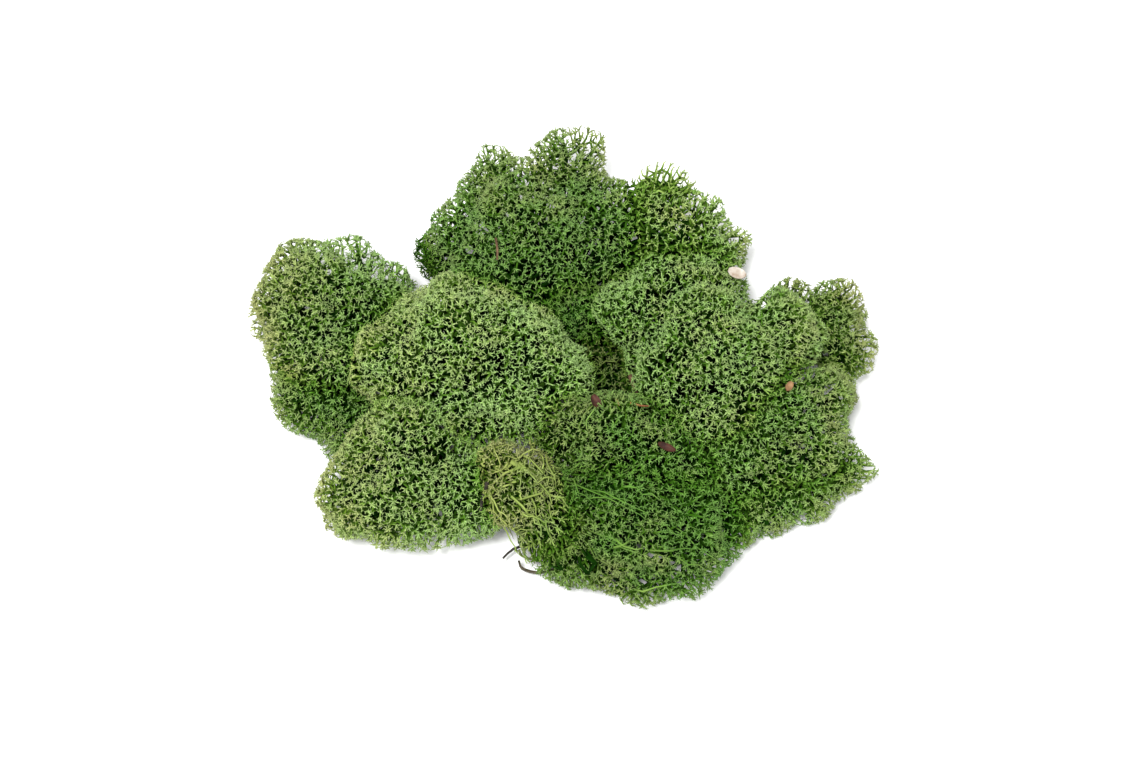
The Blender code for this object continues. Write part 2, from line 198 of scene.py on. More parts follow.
# Painted shade: what is left of a tip's colour at each share of the full depth, darker the deeper a twig
# lies.
DEPTH_SHADE = (
    (0.0, (0.84, 0.84, 0.93)),
    (0.08, (0.93, 0.95, 0.86)),
    (0.18, (0.80, 0.89, 0.56)),
    (0.38, (0.30, 0.45, 0.12)),
    (1.0, (0.0, 0.0, 0.0)),
)


def length(name, description, default):
    """A length that can be changed in the sidebar."""
    return bpy.props.FloatProperty(name=name, description=description, default=default, unit="LENGTH")


def factor(name, description, default):
    """A share that can be changed in the sidebar."""
    return bpy.props.FloatProperty(name=name, description=description, default=default, subtype="FACTOR")


def colour(name, description, default):
    """A colour that can be changed in the sidebar."""
    return bpy.props.FloatVectorProperty(
        name=name, description=description, default=default, subtype="COLOR", size=3, min=0.0, max=1.0
    )


class MossSizes(bpy.types.PropertyGroup):
    spacing: length("Tip spacing", "Least distance between two branch tips", 0.75 * MM)
    thickness: factor("Thickness", "Twig thickness against the usual one", 1.0)
    prong: length("Prong length", "Length of the last small fork at each tip", 0.75 * MM)
    curl: factor("Curl", "How far a twig bows outwards, as a share of its length", 0.3)
    uneven: length("Unevenness", "How far tips stay below the skin", 0.7 * MM)


class MossColours(bpy.types.PropertyGroup):
    green: colour("Green", "Tips of the deep green tufts", (0.165, 0.315, 0.075))
    pale: colour("Pale", "Tips of the pale tufts", (0.34, 0.475, 0.19))
    dry: colour("Dry", "Tips that have faded to olive", (0.42, 0.42, 0.19))
    # Painted shade: the near-black colour that twigs take on deep inside the tuft.
    inner: colour("Deep shade", "Twigs deep inside", (0.004, 0.025, 0.0005))


class StageLooks(bpy.types.PropertyGroup):
    floor: colour("Floor", "Colour of the sheet under the heap", (0.92, 0.92, 0.92))
    sky: bpy.props.FloatProperty(name="Sky", description="Strength of the light from all round", default=1.0)
    lamp: bpy.props.FloatProperty(name="Lamp", description="Strength of the soft lamp above", default=3.6)
    elevation: bpy.props.FloatProperty(
        name="Elevation",
        description="Height of the camera above the horizon",
        default=math.radians(68),
        unit="ROTATION",
    )


def unit(vectors):
    """Vectors divided by their own lengths."""
    return vectors / np.maximum(np.linalg.norm(vectors, axis=-1, keepdims=True), 1e-9)


def ripple(places, size, rng):
    """A smooth random height from about -1 to 1: a sum of cosine waves about size long, in all directions."""
    count = 24
    waves = unit(rng.normal(size=(count, 3))) * (2 * math.pi / size) * rng.uniform(0.6, 1.4, (count, 1))
    return np.cos(places @ waves.T + rng.uniform(0, 2 * math.pi, count)).sum(1) / math.sqrt(count)


def close_pairs(places, reach):
    """Pairs of places nearer than reach.

    Places are sorted into cubes of that size, and each cube is compared with itself and with half of the
    cubes that touch it, so that no pair comes twice.
    """
    cube = np.floor(places / reach).astype(np.int64)
    cube -= cube.min(0) - 1
    size = cube.max(0) + 2
    weights = np.array([size[1] * size[2], size[2], 1])
    key = cube @ weights
    order = np.argsort(key, kind="stable")
    sorted_key = key[order]
    around = np.stack(np.meshgrid(*[[-1, 0, 1]] * 3, indexing="ij"), -1).reshape(-1, 3)
    pairs = []
    for step in around[len(around) // 2 :] @ weights:
        low = np.searchsorted(sorted_key, key + step, "left")
        count = np.searchsorted(sorted_key, key + step, "right") - low
        first = np.repeat(np.arange(len(places)), count)
        second = order[np.arange(count.sum()) + np.repeat(low - np.cumsum(count) + count, count)]
        near = ((places[first] - places[second]) ** 2).sum(1) < reach**2
        near &= (first < second) | (step != 0)
        pairs.append(np.stack([first[near], second[near]]))
    return np.concatenate(pairs, 1)


def thin_out(places, spacing, rng):
    """Which places stay when each must keep its spacing.

    Every place draws a lot. One whose lot is the highest among the places too near it stays, they go, and
    this is done over and over until none is waiting. Places with a wide spacing are thinned apart from
    the others, because their long reach is slow.
    """
    lot = rng.permutation(len(places)) + 1
    narrow = spacing < 1.5 * spacing.min()
    found = []
    for group in (np.flatnonzero(narrow), np.flatnonzero(~narrow)):
        if not len(group):
            continue
        first, second = close_pairs(places[group], spacing[group].max())
        gap = np.linalg.norm(places[group[first]] - places[group[second]], axis=1)
        near = gap < (spacing[group[first]] + spacing[group[second]]) / 2
        first, second = first[near], second[near]
        first, second = np.concatenate([first, second]), np.concatenate([second, first])
        waiting = np.ones(len(group), bool)
        stays = np.zeros(len(group), bool)
        while waiting.any():
            best = np.zeros(len(group), np.int64)
            np.maximum.at(best, first, lot[group[second]] * waiting[second])
            chosen = waiting & (lot[group] > best)
            stays |= chosen
            waiting &= ~chosen
            waiting[second[chosen[first]]] = False
        found.append(group[stays])
    return np.concatenate(found)


def nearest(places, targets):
    """Which target lies nearest each place, and how far away it is, by comparing all of them."""
    at_once = 4000000
    squares = (targets**2).sum(1)
    found = []
    for some in np.array_split(places, len(places) * len(targets) // at_once + 1):
        gap = (some**2).sum(1)[:, None] - 2 * some @ targets.T + squares
        best = gap.argmin(1)
        found.append(np.stack([best, gap[np.arange(len(some)), best]]))
    best, gap = np.concatenate(found, 1)
    return best.astype(int), np.sqrt(np.maximum(gap, 0.0))


def scattered_skin(node, rng):
    """Random places on a solid's skin, even by area, with the skin's smooth facing there.

    A place is a corner of a triangle plus two random shares of the edges that leave it, and its facing
    is mixed from the facings of the three corners in the same shares.
    """
    mesh = frame["nodes"][node].data
    mesh.calc_loop_triangles()
    loose = np.empty(len(mesh.vertices) * 3, np.float32)
    mesh.vertices.foreach_get("co", loose)
    corners = np.empty(len(mesh.loop_triangles) * 3, np.int32)
    mesh.loop_triangles.foreach_get("vertices", corners)
    loose = np.round(loose.reshape(-1, 3) / MM, 3).astype(float)
    points, index = np.unique(loose, axis=0, return_inverse=True)
    triangles = index.ravel()[corners].reshape(-1, 3)
    first, second, third = points[triangles].transpose(1, 0, 2)
    facing = np.cross(second - first, third - first)
    smooth = np.zeros_like(points)
    np.add.at(smooth, triangles.ravel(), np.repeat(facing, 3, axis=0))
    smooth = unit(smooth)
    area = np.linalg.norm(facing, axis=1) / 2
    pick = rng.choice(len(area), int(area.sum() * SAMPLES), p=area / area.sum())
    share = rng.random((len(pick), 2))
    share[share.sum(1) > 1] = 1 - share[share.sum(1) > 1]
    share = np.concatenate([1 - share.sum(1, keepdims=True), share], 1)[:, :, None]
    return (points[triangles[pick]] * share).sum(1), unit((smooth[triangles[pick]] * share).sum(1))


@functools.cache
def all_skins():
    """The scattered skins of all tufts, each place marked if another tuft or the ground hides it.

    A sprig is too open to hide what is behind it, so it marks no other place.
    """
    names = [*TUFTS, *SPRIGS]
    skins = [scattered_skin(name, np.random.default_rng(k)) for k, name in enumerate(names)]
    owner = np.repeat(np.arange(len(names)), [len(places) for places, _ in skins])
    every = np.concatenate([places for places, _ in skins])
    first, second = close_pairs(every, TOUCH)
    apart = owner[first] != owner[second]
    first, second = first[apart], second[apart]
    touching = every[:, 2] < NEAR_GROUND
    touching[first[owner[second] < len(TUFTS)]] = True
    touching[second[owner[first] < len(TUFTS)]] = True
    return {name: (*skin, touching[owner == k]) for k, (name, skin) in enumerate(zip(names, skins))}


def gap_to(places, others):
    """How far each place is from the nearest of the others, up to NEIGHBOUR."""
    low, high = places.min(0) - NEIGHBOUR, places.max(0) + NEIGHBOUR
    others = others[((others > low) & (others < high)).all(1)]
    both = np.concatenate([places, others])
    first, second = close_pairs(both, NEIGHBOUR)
    across = (first < len(places)) != (second < len(places))
    first, second = np.minimum(first, second)[across], np.maximum(first, second)[across]
    gap = np.full(len(places), NEIGHBOUR)
    np.minimum.at(gap, first, np.linalg.norm(both[first] - both[second], axis=1))
    return gap


def height_over(places, skin, facing):
    """How high each place is over the skin's nearest place, along its facing, and which place that is."""
    over = nearest(places, skin)[0]
    return ((places - skin[over]) * facing[over]).sum(1), over


class Thicket:
    """Twigs gathered into one mesh, with how deep, how dry and how bright each point of them is."""

    def __init__(self, rng):
        self.rng = rng
        self.points, self.faces, self.depth, self.shade = [], [], [], []
        self.map, self.corners, self.middle, self.level = [], [], [], []
        self.count = 0

    def add(self, paths, radii, depths, level, pointed):
        """Carries a small triangle along each path, scaled by the radii, and closes both ends.

        paths is (twigs, steps, 3), and radii and depths are (steps,) or (twigs, steps), in millimetres.
        A pointed twig comes to a point at its last step. Every twig has its own brightness.
        """
        twigs, steps = paths.shape[:2]
        radii = np.broadcast_to(radii, (twigs, steps))
        depths = np.broadcast_to(depths, (twigs, steps)) / FULL_DEPTH
        along = unit(np.gradient(paths, axis=1))
        across = unit(np.cross(along, unit(self.rng.normal(size=(twigs, 1, 3)))))
        rise = np.cross(along, across)
        turn = 2 * math.pi / CORNERS * np.arange(CORNERS)
        ring = across[:, :, None] * np.cos(turn)[:, None] + rise[:, :, None] * np.sin(turn)[:, None]
        points = paths[:, :, None] + ring * radii[:, :, None, None]
        rings = steps - pointed
        points = points[:, :rings].reshape(twigs, rings * CORNERS, 3)
        depth = np.repeat(depths[:, :rings], CORNERS, axis=1)
        faces, places = self.pattern(rings, pointed)
        if pointed:
            points = np.concatenate([points, paths[:, -1:]], 1)
            depth = np.concatenate([depth, depths[:, -1:]], 1)
        first = self.count + np.arange(twigs)[:, None, None] * points.shape[1]
        self.faces.append((faces + first).reshape(-1, 3))
        self.map.append(np.tile(places.reshape(-1, 2), (twigs, 1)))
        self.corners.append(np.full(twigs, faces.size))
        self.middle.append(paths.mean(1))
        self.level.append(np.full(twigs, level))
        self.points.append(points.reshape(-1, 3))
        self.depth.append(depth.ravel())
        self.shade.append(np.repeat(self.rng.uniform(0.78, 1.22, twigs), points.shape[1]))
        self.count += points.shape[0] * points.shape[1]

    @staticmethod
    def pattern(rings, pointed):
        """The faces of one twig, and where their corners lie on its cell of the map: along it and around it.

        A flat end has a small triangle of its own at that edge of the cell.
        """
        faces, places = [], []
        ends = rings - 1 + pointed
        for ring in range(rings - 1):
            low, high = ring / ends, (ring + 1) / ends
            for k in range(CORNERS):
                a, b = ring * CORNERS + k, ring * CORNERS + (k + 1) % CORNERS
                left, right = k / CORNERS, (k + 1) / CORNERS
                faces += [(a, b, b + CORNERS), (a, b + CORNERS, a + CORNERS)]
                places += [((low, left), (low, right), (high, right))]
                places += [((low, left), (high, right), (high, left))]
        last = (rings - 1) * CORNERS
        if pointed:
            low = (rings - 1) / ends
            for k in range(CORNERS):
                faces.append((last + k, last + (k + 1) % CORNERS, last + CORNERS))
                places.append(((low, k / CORNERS), (low, (k + 1) / CORNERS), (1, (k + 0.5) / CORNERS)))
        else:
            faces.append((last, last + 1, last + 2))
            places.append(((1, 0), (1, 1), (0.8, 0.5)))
        faces.append((0, 2, 1))
        places.append(((0, 0), (0, 1), (0.2, 0.5)))
        return np.array(faces), np.array(places, float)

    def cells(self):
        """The map: a square of equal cells, one for each twig, in order of level, then rows, then columns.

        Neighbours on the map are then much alike. Every second column is mirrored, so that tips meet
        tips and roots meet roots.
        """
        level, middle = np.concatenate(self.level), np.concatenate(self.middle)
        side = math.ceil(math.sqrt(len(level)))
        order = np.lexsort((middle[:, 1], level))
        row = np.arange(len(level)) // side
        order = order[np.lexsort((middle[order, 0], row))]
        cell = np.empty(len(level), int)
        cell[order] = np.arange(len(level))
        cell = np.repeat(cell, np.concatenate(self.corners))
        along, around = np.concatenate(self.map).T
        column, row = cell % side, cell // side
        along = np.where(column % 2, 1 - along, along)
        inside = np.stack([along, around], 1) * (1 - 2 * MARGIN) + MARGIN
        return (inside + np.stack([column, row], 1)) / side

    def finish(self, name, plan):
        """Makes the mesh object, in metres, and keeps it above the ground.

        Dryness is the plan's share, plus the place in the tuft, from -1 to 1 on each axis, times the dry
        way, plus a slow random part.
        """
        points = np.concatenate(self.points)
        points[:, 2] = np.maximum(points[:, 2], CLEAR)
        faces = np.concatenate(self.faces)
        mesh = bpy.data.meshes.new(name)
        mesh.vertices.add(len(points))
        mesh.vertices.foreach_set("co", (points * MM).astype(np.float32).ravel())
        mesh.loops.add(faces.size)
        mesh.loops.foreach_set("vertex_index", faces.astype(np.int32).ravel())
        mesh.polygons.add(len(faces))
        mesh.polygons.foreach_set("loop_start", np.arange(0, faces.size, 3, dtype=np.int32))
        mesh.update(calc_edges=True)
        mesh.shade_smooth()
        low, high = points.min(0), points.max(0)
        place = (2 * points - low - high) / (high - low)
        dry = plan["dry"] + place @ np.array(plan["dry_way"], float)
        dry = dry + UNEVEN_DRYNESS * ripple(points, PATCH, self.rng)
        # depth carries the painted shade; shade is each twig's random tone times the tuft's brightness,
        # partly painted shade.
        values = {
            "depth": np.clip(np.concatenate(self.depth), 0, 1),
            "dry": np.clip(dry, 0, 1),
            "shade": np.concatenate(self.shade) * plan["shade"],
        }
        for kind, value in values.items():
            mesh.attributes.new(kind, "FLOAT", "POINT").data.foreach_set("value", value.astype(np.float32))
        mesh.uv_layers.new(name="OFBake").uv.foreach_set("vector", self.cells().astype(np.float32).ravel())
        piece = bpy.data.objects.new(name, mesh)
        bpy.context.scene.collection.objects.link(piece)
        return piece


def root_of(places, plan):
    """Where a tuft's twigs come from: low in it, and some way from its middle to the heap's heart."""
    if plan["root"]:
        return np.array(plan["root"], float)
    box = np.stack([places.min(0), places.max(0)])
    middle, size = box.mean(0), np.ptp(box, axis=0)
    root = middle + ROOT_LEAN * (np.array(HEART) - middle)
    root[2] = box[0, 2] + ROOT_HEIGHT * size[2]
    return root


def openness(places, spots):
    """How open the net is at each place: 1 near an open spot, and down to 0 at OPEN_REACH radii from it."""
    wide = np.zeros(len(places))
    for *spot, radius in spots:
        away = np.linalg.norm(places - spot, axis=1) / radius
        wide = np.maximum(wide, np.clip(OPEN_REACH - away, 0, 1))
    return wide


def picked_tips(places, facing, touching, wide, plan, sizes, rng):
    """Which places become tips: all as far apart as the plan says.

    Tips are up to 1.4 times as far apart where the skin faces down as where it faces up, further apart
    in an open spot and where they are hidden, and the distance changes slowly at random.
    """
    spacing = sizes.spacing / MM * plan["spacing"] * (1 + UNEVEN_SPACING * ripple(places, PATCH, rng))
    spacing = spacing * (1 + OPEN_SPACING * wide)
    spacing *= 1.2 - 0.2 * np.clip(facing[:, 2] * 3, -1, 1)
    spacing = np.where(touching, HIDDEN_SPACING * sizes.spacing / MM, spacing)
    return thin_out(places, spacing, rng)


def sunk_tips(places, facing, touching, lean, plan, sizes, rng):
    """Tips moved along their facing.

    They sink by the small heads' domes, each the square of the distance to the head's middle, by slow
    ripples and by a random part of the unevenness, but where they lean they rise over the crevice.
    """
    heads = thin_out(places, np.full(len(places), HEAD_SPACING), rng)
    sunk = np.minimum(nearest(places, places[heads])[1] / HEAD_RADIUS, 1.0) ** 2
    for size, share in RIPPLES:
        sunk = sunk + share * ripple(places, size, rng)
    sunk = plan["lump"] * sunk * (1 - lean) - LEAN * lean + sizes.uneven / MM * rng.random(len(places))
    return places - facing * np.where(touching, HIDDEN_SUNK, sunk)[:, None]


def kept_tips(places, touching, rng):
    """Which tips stay when some that are HOLE_SPACING apart go, to leave small dark holes between twigs."""
    holes = thin_out(places, np.full(len(places), HOLE_SPACING), rng)
    kept = np.ones(len(places), bool)
    kept[holes[rng.random(len(holes)) < HOLE_SHARE]] = False
    return kept | touching


def joints_under(level, places, facing, root, comb, rng):
    """Joints one level deeper: a step against the facing, back to the root along the skin, and at random.

    A step is never longer than the share INWARD of the way to the root.
    """
    down, apart = LEVELS[level][:2]
    to_root = unit(root - places)
    back = to_root - facing * (to_root * facing).sum(1, keepdims=True)
    inward = unit(ROOTWARD * level / (len(LEVELS) - 1) * to_root - facing)
    step = inward * down + back * comb * apart + rng.normal(size=back.shape) * JITTER * apart
    longest = INWARD * np.linalg.norm(root - places, axis=1) / np.linalg.norm(step, axis=1)
    return places + step * np.minimum(longest, 1.0)[:, None]


def tip_twigs(thicket, start, tips, facing, start_depth, depth, fat, shown, sizes, thick):
    """The last twigs. Each is a path of three places: its joint, a bow pushed outwards and to a random side,
    and its tip. Two short prongs leave it near each tip that is shown, ahead and to either side."""
    rng = thicket.rng
    low, high = LEVELS[0][2:4]
    reach = np.linalg.norm(tips - start, axis=1)[:, None]
    bow = start + BOW * (tips - start) + facing * sizes.curl * reach
    bow += unit(rng.normal(size=bow.shape)) * 0.1 * reach
    depths = np.stack([start_depth, (1 - BOW) * start_depth + BOW * depth, depth], 1)
    radii = thick * np.array([low, high, 0.0]) * fat[:, None]
    thicket.add(np.stack([start, bow, tips], 1), radii, depths, 0, True)
    ahead = unit(tips - bow)
    side = unit(np.cross(ahead, facing) + 0.5 * rng.normal(size=bow.shape))
    for way in (-1, 1):
        turned = unit(0.6 * ahead + way * 0.8 * side + 0.35 * facing + 0.25 * rng.normal(size=side.shape))
        tail = tips - 0.3 * (tips - bow)
        end = tail + turned * (sizes.prong / MM * rng.uniform(0.8, 1.3, len(tail)))[:, None]
        forks = np.stack([tail, end], 1)[shown]
        # Painted shade: a prong's root is a little deeper, so darker, than its point.
        depths = np.stack([depth + 0.6, depth], 1)[shown]
        thicket.add(forks, thick * np.array([PRONG_ROOT, 0.0]), depths, 0, True)


def ties(thicket, level, places, depth, fat, skin, skin_facing, thick):
    """Straight twigs between joints of one level that are close, where their middles are under the skin."""
    _, apart, low, _, tie = LEVELS[level]
    first, second = close_pairs(places, tie * apart)
    inside = height_over((places[first] + places[second]) / 2, skin, skin_facing)[0] < -UNDER
    first, second = first[inside], second[inside]
    paths = np.stack([places[first], places[second]], 1)
    depths = np.stack([depth[first], depth[second]], 1)
    radii = thick * low * (np.sqrt(fat[[first, second]].T) if level == OUTER else np.ones(2))
    thicket.add(paths, radii, depths, level, False)


def long_stems(thicket, start, ends, radii, wander, skin, facing):
    """Long stems over the skin.

    The places on each straight line move to the skin's nearest place, are smoothed five times with their
    neighbours, and then lift a little and wander at random.
    """
    share = np.linspace(0.0, 1.0, STEM_PLACES)[:, None]
    start = np.broadcast_to(start, ends.shape)
    paths = start[:, None] + (ends - start)[:, None] * share
    on = nearest(paths.reshape(-1, 3), skin)[0]
    above = np.sin(math.pi * np.linspace(0.12, 1.0, STEM_PLACES))[:, None] * STEM_LIFT
    paths = skin[on].reshape(paths.shape)
    for _ in range(5):
        paths[:, 1:-1] = (paths[:, :-2] + 2 * paths[:, 1:-1] + paths[:, 2:]) / 4
    paths += facing[on].reshape(paths.shape) * above + thicket.rng.normal(size=paths.shape) * wander
    thicket.add(paths, radii, np.linspace(*STEM_DEPTH, STEM_PLACES), 0, True)


def bare_stems(thicket, root, plan, thick, skin, skin_facing):
    """The plan's strands, which end at random places that face upwards, and its thicker stems."""
    rng = thicket.rng
    if plan["strands"]:
        ends = skin[rng.choice(np.flatnonzero(skin_facing[:, 2] > 0.1), plan["strands"])]
        share = rng.uniform(*STRAND_START, (len(ends), 1))
        starts = ends + (root - ends) * share + rng.normal(size=ends.shape) * STRAND_STRAY
        radii = thick * np.linspace(*STRAND_RADII, STEM_PLACES) * rng.uniform(0.7, 1.3, (len(ends), 1))
        long_stems(thicket, starts, ends, radii, STRAND_WANDER, skin, skin_facing)
    for start, end, radius in plan["stems"]:
        radii = np.linspace(radius, STEM_END, STEM_PLACES)
        ends = np.array([end], float)
        long_stems(thicket, np.array(start), ends, radii, STEM_WANDER, skin, skin_facing)


def grow(name, plan, sizes, skins):
    """Grows one tuft from its tips inwards.

    Tips are picked evenly from the skin, sink or lean, and some go to leave holes. Every level's joints
    are picked evenly from the level before and moved inwards, the deeper ones at least UNDER the skin.
    Each point is joined to the nearest joint by a twig, and each of the last joints has a trunk that
    leans halfway to the root.
    """
    places, facing, touching = skins[name]
    rng = np.random.default_rng(len(places))
    root = root_of(places, plan)
    wide = openness(places, plan["open"])
    picked = picked_tips(places, facing, touching, wide, plan, sizes, rng)
    places, facing, touching, wide = places[picked], facing[picked], touching[picked], wide[picked]
    skin, skin_facing = places, facing
    others = np.concatenate([skins[other][0][::16] for other in skins if other != name])
    lean = np.where(touching, 0, np.clip(1 - gap_to(places, others) / NEIGHBOUR, 0, 1))
    places = sunk_tips(places, facing, touching, lean, plan, sizes, rng)
    kept = kept_tips(places, touching, rng)
    places, facing, touching, wide, lean = places[kept], facing[kept], touching[kept], wide[kept], lean[kept]

    thicket = Thicket(rng)
    thick = sizes.thickness * plan["thick"]
    spread = 1 + OPEN_JOINTS * wide
    on_ground = places[:, 2] < ON_GROUND
    fat = np.where(touching & ~on_ground, FAT, 1.0)
    # Painted shade: hidden twigs, and twigs over a crevice, start deeper, so their colour is darker.
    hidden = np.where(on_ground, SHADED["ground"], SHADED["pressed"])
    depth = np.where(touching, hidden, SHADED["crevice"] * lean**3)
    for level, (down, apart, low, high, tie) in enumerate(LEVELS[: plan["levels"]]):
        picked = thin_out(places, apart * spread, rng)
        joints = joints_under(level, places[picked], facing[picked], root, plan["comb"], rng)
        if level > OUTER:
            out, over = height_over(joints, skin, skin_facing)
            joints -= skin_facing[over] * np.clip(out + UNDER, 0, None)[:, None]
        joints[:, 2] = np.maximum(joints[:, 2], low)
        joint_depth = depth[picked] + down
        to = nearest(places, joints)[0]
        start, start_depth = joints[to], joint_depth[to]
        if level == 0:
            tip_twigs(thicket, start, places, facing, start_depth, depth, fat, ~touching, sizes, thick)
        else:
            radii = thick * np.array([low, high]) * (fat[:, None] ** 0.5 if level == OUTER else 1.0)
            depths = np.stack([start_depth, depth], 1)
            thicket.add(np.stack([start, places], 1), radii, depths, level, False)
        places, facing, depth = joints, facing[picked], joint_depth
        spread, fat = spread[picked], fat[picked]
        if tie:
            ties(thicket, level, places, depth, fat, skin, skin_facing, thick)
    trunk = 0.5 * (root + places) * (1, 1, 0) + root * (0, 0, 1)
    radii = thick * np.array([1.2 * low, low])
    thicket.add(np.stack([trunk, places], 1), radii, np.stack([depth, depth], 1), len(LEVELS), False)
    bare_stems(thicket, root, plan, thick, skin, skin_facing)
    return thicket.finish(name.replace("moss_", "lichen_"), plan)


def shader_group(name, inputs, outputs):
    """An empty node group with named sockets, and its inner input and output nodes."""
    tree = bpy.data.node_groups.new(name, "ShaderNodeTree")
    for kind, sockets in (("INPUT", inputs), ("OUTPUT", outputs)):
        for label, socket in sockets.items():
            tree.interface.new_socket(label, in_out=kind, socket_type="NodeSocket" + socket)
    return tree, tree.nodes.new("NodeGroupInput"), tree.nodes.new("NodeGroupOutput")


def put(tree, socket, value):
    """Links a socket to another one, or sets it to a value."""
    if isinstance(value, bpy.types.NodeSocket):
        tree.links.new(value, socket)
    else:
        socket.default_value = value


def mixed(tree, share, first, second, blend="MIX"):
    """The result of a colour mix node, whose inputs are sockets or values."""
    node = tree.nodes.new("ShaderNodeMix")
    node.data_type = "RGBA"
    node.blend_type = blend
    for k, value in ((0, share), (6, first), (7, second)):
        put(tree, node.inputs[k], value)
    return node.outputs[2]


def worked(tree, kind, first, second, clamped=False):
    """The result of a number node of that kind, whose inputs are sockets or values."""
    node = tree.nodes.new("ShaderNodeMath")
    node.operation = kind
    node.use_clamp = clamped
    for socket, value in zip(node.inputs, (first, second)):
        put(tree, socket, value)
    return node.outputs[0]


def speckle(tree, size, detail):
    """Noise in the piece's own place, with lumps about size metres long, given as a number about 0.5."""
    place = tree.nodes.new("ShaderNodeTexCoord")
    noise = tree.nodes.new("ShaderNodeTexNoise")
    noise.inputs["Detail"].default_value = detail
    tree.links.new(place.outputs["Object"], noise.inputs["Vector"])
    put(tree, noise.inputs["Scale"], worked(tree, "DIVIDE", 1.0, size))
    return noise.outputs["Fac"]


def twig_colours():
    """Twig colour: dry in patches, and darker with depth towards the deep shade colour, as painted shade."""
    inputs = {"Tip": "Color", "Dry": "Color", "Deep shade": "Color"}
    inputs |= {"Depth": "Float", "Dryness": "Float", "Shade": "Float"}
    tree, given, result = shader_group("twig colours", inputs, {"Color": "Color"})
    patch_size, patch_strength = 8 * MM, 1.2
    patches = worked(tree, "SUBTRACT", speckle(tree, patch_size, 2.0), 0.5)
    patches = worked(tree, "MULTIPLY", patches, patch_strength)
    dryness = worked(tree, "ADD", given.outputs["Dryness"], patches, clamped=True)
    tip = mixed(tree, dryness, given.outputs["Tip"], given.outputs["Dry"])
    shade = tree.nodes.new("ShaderNodeCombineColor")
    for socket in shade.inputs[:3]:
        tree.links.new(given.outputs["Shade"], socket)
    tip = mixed(tree, 1.0, tip, shade.outputs["Color"], "MULTIPLY")
    # Painted shade: the ramp darkens the tip colour with depth, and the deep shade colour is added.
    ramp = tree.nodes.new("ShaderNodeValToRGB")
    stops = ramp.color_ramp.elements
    for place, _ in DEPTH_SHADE[1:-1]:
        stops.new(place)
    for stop, (_, shade_there) in zip(stops, DEPTH_SHADE):
        stop.color = (*shade_there, 1)
    tree.links.new(given.outputs["Depth"], ramp.inputs["Fac"])
    lit = mixed(tree, 1.0, tip, ramp.outputs["Color"], "MULTIPLY")
    tree.links.new(mixed(tree, 1.0, lit, given.outputs["Deep shade"], "ADD"), result.inputs["Color"])
    return tree


def litter_grain():
    """The grain of wood and dead leaves: two sizes of speckle, which set colour, roughness and height."""
    inputs = {"Light": "Color", "Dark": "Color", "Size": "Float", "Roughness": "Float"}
    outputs = {"Color": "Color", "Roughness": "Float", "Height": "Float"}
    tree, given, result = shader_group("litter grain", inputs, outputs)
    contrast, uneven_gloss = 4.0, 0.2
    coarse = speckle(tree, worked(tree, "MULTIPLY", given.outputs["Size"], 3.0), 1.0)
    fine = speckle(tree, given.outputs["Size"], 3.0)
    grain = worked(tree, "MULTIPLY", worked(tree, "ADD", coarse, fine), 0.5)
    sharp = worked(tree, "MULTIPLY", worked(tree, "SUBTRACT", grain, 0.5), contrast)
    sharp = worked(tree, "ADD", sharp, 0.5, clamped=True)
    tree.links.new(mixed(tree, sharp, given.outputs["Dark"], given.outputs["Light"]), result.inputs["Color"])
    uneven = worked(tree, "MULTIPLY", worked(tree, "SUBTRACT", 0.5, sharp), uneven_gloss)
    rough = worked(tree, "ADD", given.outputs["Roughness"], uneven)
    tree.links.new(rough, result.inputs["Roughness"])
    tree.links.new(grain, result.inputs["Height"])
    return tree


def new_material(name, roughness, specular, group=None):
    """A material, its tree, its main shader and a node for the group, if there is one."""
    material = bpy.data.materials.new(name)
    material.use_nodes = True
    tree = material.node_tree
    shader = tree.nodes["Principled BSDF"]
    shader.inputs["Roughness"].default_value = roughness
    shader.inputs["Specular IOR Level"].default_value = specular
    looks = None
    if group:
        looks = tree.nodes.new("ShaderNodeGroup")
        looks.node_tree = group
        tree.links.new(looks.outputs["Color"], shader.inputs["Base Color"])
    return material, tree, shader, looks


def litter_material(slot, group):
    """The finish of one kind of litter."""
    light, dark, size, roughness, height = LITTER[slot]
    material, tree, shader, looks = new_material("litter_" + slot, roughness, 0.3, group)
    looks.inputs["Light"].default_value = (*light, 1)
    looks.inputs["Dark"].default_value = (*dark, 1)
    looks.inputs["Size"].default_value = size * MM
    looks.inputs["Roughness"].default_value = roughness
    bump = tree.nodes.new("ShaderNodeBump")
    bump.inputs["Distance"].default_value = height * MM
    tree.links.new(looks.outputs["Height"], bump.inputs["Height"])
    tree.links.new(looks.outputs["Roughness"], shader.inputs["Roughness"])
    tree.links.new(bump.outputs["Normal"], shader.inputs["Normal"])
    return material


def twig_material(name, plan, colours, group):
    """A dry, matt finish for one tuft, whose depth, dryness and shade are in its mesh."""
    material, tree, _, looks = new_material(name, 0.9, 0.03, group)
    tip = np.array(colours.green) * (1 - plan["pale"]) + np.array(colours.pale) * plan["pale"]
    for label, value in (("Tip", tip), ("Dry", colours.dry), ("Deep shade", colours.inner)):
        looks.inputs[label].default_value = (*value, 1)
    for label, attribute in (("Depth", "depth"), ("Dryness", "dry"), ("Shade", "shade")):
        value = tree.nodes.new("ShaderNodeAttribute")
        value.attribute_name = attribute
        tree.links.new(value.outputs["Fac"], looks.inputs[label])
    return material


def grown_pieces(plans, sizes, colours):
    """Grows every tuft of the plans and lets it stand for its solid."""
    group = bpy.data.node_groups.get("twig colours") or twig_colours()
    for name, plan in plans.items():
        plan = USUAL | plan
        piece = grow(name, plan, sizes, all_skins())
        piece.data.materials.append(twig_material(piece.name, plan, colours, group))
        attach(piece, "root")
        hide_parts(name)


